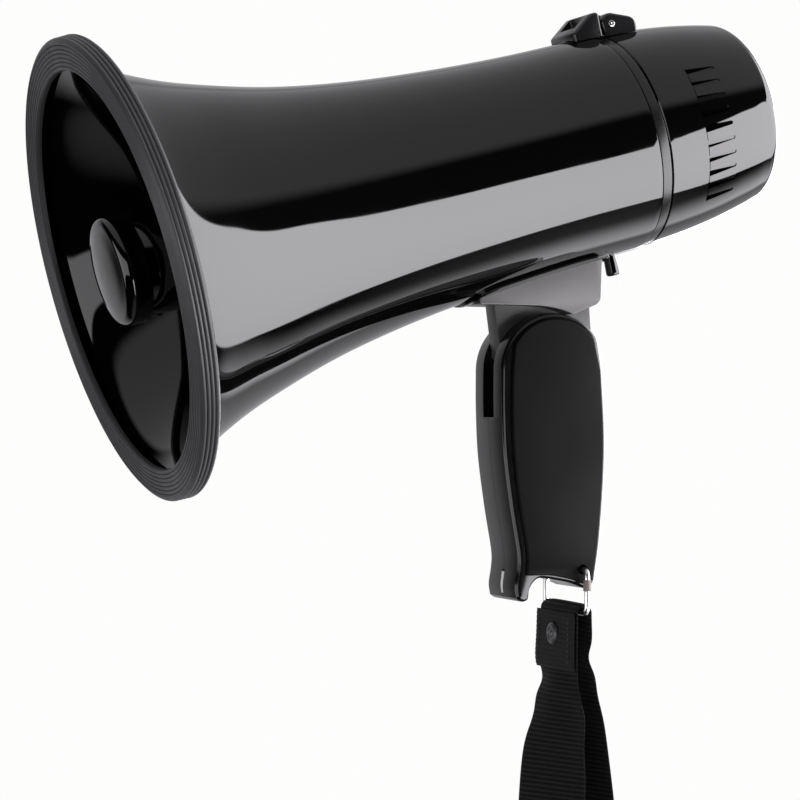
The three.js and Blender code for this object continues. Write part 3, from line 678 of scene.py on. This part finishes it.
def volume_dial():
    """A knurled thumb knob with a pointer line."""
    bm = bmesh.new()
    rows = []
    segments = 144
    profile = [(PANEL_FRONT - 1.5, ON_AXIS), (PANEL_FRONT - 1.5, 1.6), (PANEL_BACK + 0.45, 1.6),
               (PANEL_BACK + 0.45, 6.3), (PANEL_BACK + 0.8, 6.6), (PANEL_BACK + 2.6, 6.2),
               (PANEL_BACK + 3.1, 5.6), (PANEL_BACK + 3.2, 4.8), (PANEL_BACK + 2.9, 4.2),
               (PANEL_BACK + 2.9, ON_AXIS)]
    for i in range(segments):
        angle = 2 * math.pi * i / segments
        knurl = 0.16 * math.cos(24 * angle)
        section = [(s, r + knurl * (r > 5)) for s, r in profile]
        rows.append([bm.verts.new((s, r * math.cos(angle), r * math.sin(angle))) for s, r in section])
    grid_faces(bm, rows, True, True)
    bm.transform(Matrix.Translation((0, *DIAL)))
    wear(from_bmesh("volume_dial_look", bm, HORN), "volume_dial", "gloss_black", "volume_dial")
    y, z = DIAL
    line = block("dial_pointer_line", (PANEL_BACK + 2.85, y - 0.35, z + 0.8),
                 (PANEL_BACK + 3.05, y + 0.35, z + 4.1), HORN, 0.05)
    wear(line, "volume_dial", "gloss_black", look=PRINT_AND_HIGHLIGHT_WHITE)
    ticks = []
    for i in range(11):
        swing = Matrix.Rotation(math.radians(-140 + 28 * i), 4, "X")
        turn = HORN @ Matrix.Translation(Vector((0, y, z)) * MM) @ swing
        ticks.append(block(f"tick_{i}", (PANEL_BACK - 0.1, -0.2, 7.6), (PANEL_BACK + 0.12, 0.2, 8.6), turn))
    wear(join("dial_scale_ticks", ticks), "cap", "matte_black", look=PRINT_AND_HIGHLIGHT_WHITE)


def talk_button():
    edge = bend((PANEL_BACK + 2.0, 3.6), (PANEL_BACK + 2.8, 3.5), (PANEL_BACK + 2.8, 2.4))
    profile = [(PANEL_FRONT - 1.4, ON_AXIS), (PANEL_FRONT - 1.4, 5), (PANEL_FRONT - 0.3, 5),
               (PANEL_FRONT - 0.3, 3.6), *edge, (PANEL_BACK + 2.55, ON_AXIS)]
    wear(turned("talk_button_look", profile, 64, offset=TALK), "talk_button", "grey_rubber", "talk_button")


def siren_slider():
    y, z = SLIDER

    def bar(name, front, back, half_y, half_z, bevel=0.0):
        return block(name, (front, y - half_y, z - half_z), (back, y + half_y, z + half_z), HORN, bevel)

    foot = bar("slider_foot", PANEL_FRONT - 1.4, PANEL_FRONT - 0.4, 2.6, 2.8)
    stem = bar("slider_stem", PANEL_FRONT - 0.9, PANEL_BACK + 0.8, 1.6, 1.2)
    knob = bar("slider_knob", PANEL_BACK + 0.4, PANEL_BACK + 1.7, 2.4, 2.6, 0.3)
    ridges = []
    for i in range(4):
        middle = y - 1.8 + 1.2 * i
        ridges.append(block(f"slider_ridge_{i}", (PANEL_BACK + 1.5, middle - 0.3, z - 2.1),
                            (PANEL_BACK + 2.2, middle + 0.3, z + 2.1), HORN, 0.2))
    slider = join("siren_slider_look", [foot, stem, knob, *ridges])
    wear(slider, "siren_slider", "grey_rubber", "siren_slider")


# Latch

def latch_pin_hole():
    return rod("pin_hole", (LATCH_PIN[0], 0, LATCH_PIN[1]), (0, 1, 0), 1.35, 30, HORN)


def latch():
    along, height = LATCH_PIN
    base_shape = [(199, 36), (197.7, 39.6), *arc(LATCH_PIN, 3.9, 162, 63, 14),
                  *bend((208.6, 43), (210.8, 42), (210.9, 39.6)), (210.4, 34)]
    base = slab("latch_base_look", base_shape, -LATCH_HALF_WIDTH, LATCH_HALF_WIDTH, HORN, 0.9)
    room = block("knuckle_room", (196, -5.4, 30), (along + 6.3, 5.4, 50), HORN)
    base = carve(base, cap_space(), room, latch_pin_hole())
    wear(base, "cap", "matte_black", "latch_base", look=LATCH_BLACK)
    pin = rod("latch_pin_look", (along, 0, height), (0, 1, 0), 1.2, 20.8, HORN, 0.3)
    wear(pin, "cap", "steel", "latch_pin")
    front = [(185.5, 36), *bend((185.5, 40.8), (185.6, 41.5), (186.2, 41.9)),
             *bend((192.6, 46.2), (193.6, 46.9), (195, 46.9)), *bend((195.6, 46.9), (197, 46.8), (197, 45)),
             (196.8, 41), (196.8, 36)]
    flap = slab("latch_flap_look", front, -LATCH_HALF_WIDTH, LATCH_HALF_WIDTH, HORN, 0.9)
    window = block("flap_window", (188.2, -6, 36), (193.4, 6, 50), HORN, 0.4)
    arm_shape = [(195, 46.6), *spline([(198, 46.4), (200.5, 45.35)], 3),
                 *arc(LATCH_PIN, KNUCKLE_RADIUS, 60, -128, 20), (199, 39.8), (195, 39.8)]
    arm = slab("flap_arm", arm_shape, -5, 5, HORN, 0.35)
    flap = carve(carve(flap, window), arm, operation="UNION")
    flap = carve(flap, horn_space(0.3), latch_pin_hole())
    wear(flap, "latch", "matte_black", "latch_flap", look=LATCH_BLACK)
    nub_shape = rounded([(189.4, 36), (190.2, 40.2), (191.6, 42), (192.7, 42), (192.7, 36)], 0.4)
    nub = slab("latch_catch_look", nub_shape, -5, 5, HORN, 0.4)
    wear(carve(nub, horn_space()), "horn", "matte_black", "latch_catch", look=LATCH_BLACK)


# Bracket

def handle_bracket():
    side = [(-29, 66), (-29, 56.1), *bend((-6.5, 55.9), (2.5, 55.4), (7.2, 52.9), 8),
            *bend((16, 56.4), (18.1, 57.4), (18.2, 59.4), 6), (18.9, 78)]
    body = slab("handle_bracket_look", rounded(side, 0.6, 3), -BRACKET_HALF_WIDTH, BRACKET_HALF_WIDTH,
                bevel=1.1)
    tang_shape = [(-20.2, 58), (-17.5, 38), *arc(FOLD_PIVOT, 12, 194, 360, 24), (12, 44.9), (17.6, 45.2),
                  (18.4, 46.4), (17.6, 58)]
    tang = slab("tang", tang_shape, -TANG_HALF_WIDTH, TANG_HALF_WIDTH, WORLD, 0.5)
    body = carve(body, tang, operation="UNION")
    pin_hole = rod("fold_pin_hole", (FOLD_PIVOT[0], 0, FOLD_PIVOT[1]), (0, 1, 0), 2.65, 12)
    wear(carve(body, horn_space(0.1), pin_hole), "horn", "satin_black", "handle_bracket")
    pin = rod("fold_pin_look", (FOLD_PIVOT[0], 0, FOLD_PIVOT[1]), (0, 1, 0), 2.45, 22.6, WORLD, 0.3)
    wear(pin, "horn", "steel", "fold_pin")


def bracket_flange():
    """The thin foot of the bracket, wrapped round the underside of the barrel."""
    start, end, half_width, thickness = 121, 179.5, 16.5, 1.3
    bm = bmesh.new()
    layers = []
    for lift, inset in ((0.02, 0), (thickness - 0.4, 0), (thickness, 0.6)):
        rows = []
        for i in range(41):
            u = -math.cos(math.pi * i / 40)
            along = (start + end) / 2 + u * ((end - start) / 2 - inset)
            reach = (half_width - inset) * max(0.0, 1 - abs(u) ** 7) ** (1 / 3)
            radius = radius_at(FLARE_CURVE, along) + lift
            row = []
            for k in range(17):
                angle = (k / 8 - 1) * reach / BARREL_RADIUS
                row.append(bm.verts.new((along, radius * math.sin(angle), -radius * math.cos(angle))))
            rows.append(row)
        layers.append(rows)
    for rows in (layers[0], layers[2]):
        grid_faces(bm, rows, False, False)
    for below, above in zip(layers, layers[1:]):
        for edge in (0, -1):
            grid_faces(bm, [[row[edge] for row in below], [row[edge] for row in above]], False, False)
            grid_faces(bm, [below[edge], above[edge]], False, False)
    wear(from_bmesh("bracket_flange", bm, HORN), "horn", "gloss_black")


# Grip

def grip_outline():
    x, z = FOLD_PIVOT
    rear = spline([(17.2, 43), (18.7, 33), (20, 10), (19.5, -8), (17.8, -28), (15.8, -41)], 6)
    foot = bend((15.8, -41), (14.8, -44.6), (11.5, -44.3), 6)
    under = spline([(11.5, -44.3), (6, -42.2), (-2, -40.6)], 5)
    toe = spline([(-2, -40.6), (-6.2, -40.4), (-9, -43), (-10.2, -47.6)], 6)
    front = spline([(-14.8, -47.2), (-15.3, -43), (-14.4, -37), (-14.4, -31), (-17.1, -15.4), (-19.6, 3),
                    (-20.4, 20), (-20.4, z)], 6)
    return [*arc((x, z), GRIP_TOP_RADIUS, 180, 36, 28), *rear, *foot[1:], *under[1:], *toe[1:],
            *bend((-10.2, -47.6), (-12.2, -49.6), (-14.8, -47.2), 6)[1:], *front[1:-1]]


def pad_outline():
    x, z = FOLD_PIVOT
    rear = spline([(17.4, 33), (18.5, 10), (18, -8), (16.3, -28), (14.4, -41)], 6)
    foot = bend((14.4, -41), (13.6, -43.2), (11.6, -43), 5)
    under = spline([(11.6, -43), (6, -41), (-2, -39.4), (-8, -39.2)], 5)
    front = spline([(-11.6, -39.2), (-11.4, -31), (-14.1, -15.4), (-16.4, 3), (-17.2, 20), (-16.9, 34)], 6)
    return [*arc((x, z), 18.4, 151.2, 36, 22), *rear, *foot[1:], *under[1:], *front]


def ring_hole(name):
    return rod(name, (RING_HOLE[0], 0, RING_HOLE[1]), (0, 1, 0), WIRE_RADIUS + 0.8, 60)


def grip():
    """Two glossy halves that meet in the middle, each with a matte pad on its side."""
    for name, side, bevelled in (("right", 1, "high"), ("left", -1, "low")):
        middle, outside = sorted((side * 0.1, side * GRIP_HALF_WIDTH))
        half = slab(f"grip_half_{name}_look", grip_outline(), middle, outside, WORLD, 1.9, bevelled, 4)
        tools = [
            slab("tang_room", [(-26, 16.5), (12.6, 16.5), (12.6, 44.2), (26, 44.2), (26, 60), (-26, 60)],
                 -SLOT_HALF_WIDTH, SLOT_HALF_WIDTH),
            slab("inside", [(-14, 13), (8, 13), (8, -2), (14, -8), (13, -30), (-5, -30), (-5, -18),
                            (-12, -6)], -9.8, 9.8),
            rod("fold_hole", (FOLD_PIVOT[0], 0, FOLD_PIVOT[1]), (0, 1, 0), 2.8, 23.6),
            ring_hole("ring_hole"),
            block("toe_slit", (-20, -1, -46), (-8, 1, -37.5)),
        ]
        wear(carve(half, *tools), "grip", "gloss_black", f"grip_half_{name}", look=GRIP_BLACK)
        inner, outer = sorted((side * (GRIP_HALF_WIDTH + 0.02), side * PAD_OUTSIDE))
        pad = slab(f"grip_pad_{name}_look", pad_outline(), inner, outer, WORLD, 0.7, bevelled)
        wear(carve(pad, ring_hole("ring_hole")), "grip", "matte_black", f"grip_pad_{name}")
    # A white strip set in the toe's slit: a painted highlight along the front of the glossy black toe.
    toe_highlight_shape = [(-14.9, -45.9), (-15.25, -43), (-14.7, -38.3), (-12, -38.3), (-12, -45.9)]
    toe_highlight = slab("toe_painted_highlight", toe_highlight_shape, -0.97, 0.97)
    wear(toe_highlight, "grip", "gloss_black", look=PRINT_AND_HIGHLIGHT_WHITE)


# Ring and strap

def strap_ring():
    x, top = RING_HOLE
    bottom = top - RING_DROP
    side, corner = RING_HALF_WIDTH, 3
    corners = [(side, top), (side, bottom), (-side, bottom), (-side, top)]
    path = []
    for i, (y, z) in enumerate(corners):
        here = Vector((x, y, z))
        back = (Vector((x, *corners[i - 1])) - here).normalized()
        ahead = (Vector((x, *corners[(i + 1) % 4])) - here).normalized()
        path += [Vector(p) for p in bend(here + back * corner, here, here + ahead * corner, 8)]
    wear(tube("strap_ring_look", path, WIRE_RADIUS, closed=True), "ring", "steel", "strap_ring")
    sleeve = rod("ring_sleeve", (x, -side, top - 5.5), (0, 0, 1), 1.4, 4, WORLD, 0.3)
    wear(sleeve, "ring", "steel", look=SLEEVE_BROWN)


def strap_place(t, way):
    """Where one leg of the strap is, at t from 0 at the ring's bar to 1 at the bottom of its loop, with the
    direction across it. way is -1 for the front leg and 1 for the rear one."""
    drop = math.sin(t * math.pi / 2)
    spread = 2.8 * (1 - t ** 6) + STRAP_BELLY * math.sin(math.pi * t ** 1.5)
    share = min(max((drop - 0.03) / 0.27, 0), 1)
    turn = math.radians(STRAP_TWIST) * share * share * (3 - 2 * share)
    across = Vector((-math.sin(turn), math.cos(turn), 0))
    middle = Vector((math.cos(turn), math.sin(turn), 0)) * way * spread
    return middle + Vector((RING_HOLE[0], 0, RING_HOLE[1] - RING_DROP - drop * STRAP_DROP)), across


def strap_path():
    """Places along the whole strap: down the front leg, up the rear one and over the ring's bar."""
    fine = 400
    path = [strap_place(i / fine, -1) for i in range(fine + 1)]
    path += [strap_place(i / fine, 1) for i in range(fine - 1, -1, -1)]
    x, bar = RING_HOLE[0], RING_HOLE[1] - RING_DROP
    radius = path[-1][0].x - x
    for i in range(1, 24):
        angle = math.pi * i / 24
        over = Vector((x + radius * math.cos(angle), 0, bar + radius * math.sin(angle)))
        path.append((over, Vector((0, 1, 0))))
    return path


def even_places(path, spacing):
    """The closed path at even steps, and its length."""
    lengths = [0.0]
    for (a, _), (b, _) in zip(path, path[1:] + path[:1]):
        lengths.append(lengths[-1] + (b - a).length)
    total = lengths[-1]
    count = round(total / spacing)
    places, k = [], 0
    for i in range(count):
        wanted = total * i / count
        while lengths[k + 1] < wanted:
            k += 1
        share = (wanted - lengths[k]) / (lengths[k + 1] - lengths[k])
        (a, across_a), (b, across_b) = path[k], path[(k + 1) % len(path)]
        places.append((a.lerp(b, share), across_a.lerp(across_b, share).normalized()))
    return places, total


def out_of(places, i):
    """The direction out of the strap's loop at place i."""
    along = (places[(i + 1) % len(places)][0] - places[i - 1][0]).normalized()
    return along.cross(places[i][1]).normalized() * -1


def crumple(along, total, u):
    """How far the webbing strays where it creases: sideways and out of its loop, at u across it."""
    front = along < total / 2
    drop = along if front else total - along
    waist = math.exp(-((drop - WAIST_DROP) / 5) ** 2)
    sway = math.exp(-((drop - WAIST_DROP - 12) / 8) ** 2)
    aside = -2.2 * u * waist + (-1.6 if front else 0.8) * sway
    fold = 1.5 * waist * math.cos(2.6 * u) + 1.3 * sway * math.sin(3.2 * u + 0.6)
    wave = 0.35 * math.sin(drop / 9 + 2 * u) * min(drop / 20, 1)
    return aside, fold + wave


def wrist_strap():
    places, total = even_places(strap_path(), RIB_PITCH / 5)
    half = STRAP_THICKNESS / 2
    stops = [-1, -0.985, -0.95, -0.85, -0.65, -0.4, -0.15, 0.15, 0.4, 0.65, 0.85, 0.95, 0.985, 1]
    bm = bmesh.new()
    rows, flat = [], []
    for i, (middle, across) in enumerate(places):
        out = out_of(places, i)
        along = total * i / len(places)
        row, coordinates = [], []
        for face, order in ((1, stops), (-1, stops[::-1])):
            rib = 0.2 * math.cos(2 * math.pi * along / RIB_PITCH + (0 if face > 0 else math.pi))
            for u in order:
                edge = (1 - abs(u) ** 12) ** 0.5
                reach = face * max((half - 0.2 + rib * (abs(u) < 0.9)) * edge, 0.08)
                aside, outward = crumple(along, total, u)
                beside = u * STRAP_WIDTH / 2 + aside
                row.append(bm.verts.new(middle + across * beside + out * (reach + outward)))
                coordinates.append((u * STRAP_WIDTH / 2, along))
        rows.append(row)
        flat.append(coordinates)
    width = len(rows[0])
    uv = bm.loops.layers.uv.new("millimetres")
    for i, row in enumerate(rows):
        after = (i + 1) % len(rows)
        step = total / len(rows)
        for k in range(width):
            m = (k + 1) % width
            face = bm.faces.new((row[k], row[m], rows[after][m], rows[after][k]))
            ahead = [(x, y + step) for x, y in (flat[i][m], flat[i][k])]
            for loop, mark in zip(face.loops, (flat[i][k], flat[i][m], *ahead)):
                loop[uv].uv = mark
    strap = from_bmesh("wrist_strap_look", bm, WORLD, 60)
    wear(strap, "strap", "black_webbing", "wrist_strap")
    return strap, total


def stitches():
    """Two short columns of stitching on the front leg below the ring."""
    places, total = even_places(strap_path(), 0.5)
    threads = []
    spots = [(u, start) for u in (-12, 12) for start in range(3, 18, 2)]
    for u, start in spots:
        path = []
        for step in range(5):
            i = int((start + step * 0.35) / total * len(places))
            middle, across = places[i]
            aside, outward = crumple(start + step * 0.35, total, u * 2 / STRAP_WIDTH)
            lift = STRAP_THICKNESS / 2 + 1.2 + 0.25 * math.sin(math.pi * step / 4) + outward
            path.append(middle + across * (u + aside + 0.25 * (step - 2)) + out_of(places, i) * lift)
        threads.append(tube(f"stitch_{u}_{start}", path, 0.22, 6))
    return wear(join("strap_stitches", threads), "strap", "black_webbing", look=THREAD_BLACK)


def strap_lap():
    """The webbing's end, folded round the ring and riveted over the front leg."""
    places, total = even_places(strap_path(), RIB_PITCH / 5)
    half = 0.62
    count = int(LAP_LENGTH / (RIB_PITCH / 5))
    stops = [-1, -0.98, -0.93, -0.5, 0, 0.5, 0.93, 0.98, 1]
    bm = bmesh.new()
    rows = []
    for i in range(count + 1):
        middle, across = places[i]
        out = out_of(places, i)
        rib = 0.12 * math.cos(2 * math.pi * i / 5)
        end = min(i, count - i, 3) / 3
        row = []
        for face, order in ((1, stops), (-1, stops[::-1])):
            for u in order:
                thick = max((half - 0.12 + (rib if face > 0 else 0)) * (1 - abs(u) ** 12) ** 0.5 * end, 0.02)
                aside, outward = crumple(i * total / len(places), total, u)
                lift = STRAP_THICKNESS / 2 + half + 0.03 + face * thick + outward
                row.append(bm.verts.new(middle + across * (u * (STRAP_WIDTH / 2 + 0.3) + aside) + out * lift))
        rows.append(row)
    grid_faces(bm, rows, False, True)
    bm.faces.new(rows[0])
    bm.faces.new(rows[-1])
    return wear(from_bmesh("strap_lap", bm, WORLD, 60), "strap", "black_webbing")


def strap_rivet():
    """A domed rivet head on the front leg."""
    x, z = RING_HOLE
    centre = Vector((x - 5.2, 0, z - RING_DROP - 8)) * MM
    face = Matrix.Translation(centre) @ Matrix.Rotation(math.pi, 4, "Z")
    head = [(0, ON_AXIS), (0, 4), (0.35, 4), *bend((0.35, 4), (0.9, 3.9), (1.1, 2.9), 4), (1.1, 2.6),
            (0.85, 2.2), (0.85, 1.4), (1.1, 1.0), (1.2, ON_AXIS)]
    return wear(turned("strap_rivet_look", head, 48, face), "strap", "black_rivet", "strap_rivet")


# Everything

def dress_hidden_pieces():
    """The CAD's own solids that no piece stands for keep their shape and take their slot's material."""
    for part in frame["record"]["subparts"]:
        node = frame["nodes"][part["node"]]
        node.data.materials.clear()
        node.data.materials.append(LOOKS[part["material_slot"]])


make_camera()
make_world()
make_floor()
make_lamp("top_fill", (0.1, 0.1, 0.9), (0, 0, 0.05), 0.8, 6)
dress_hidden_pieces()
horn_shell()
bell_bumper()
reflex_horn()
seam_band()
mode_lever()
rear_cap()
control_panel()
microphone_grille()
volume_dial()
talk_button()
siren_slider()
latch()
handle_bracket()
bracket_flange()
grip()
strap_ring()
strap, strap_length = wrist_strap()
thread = stitches()
lap = strap_lap()
rivet = strap_rivet()
bpy.context.scene.view_settings.view_transform = "Standard"
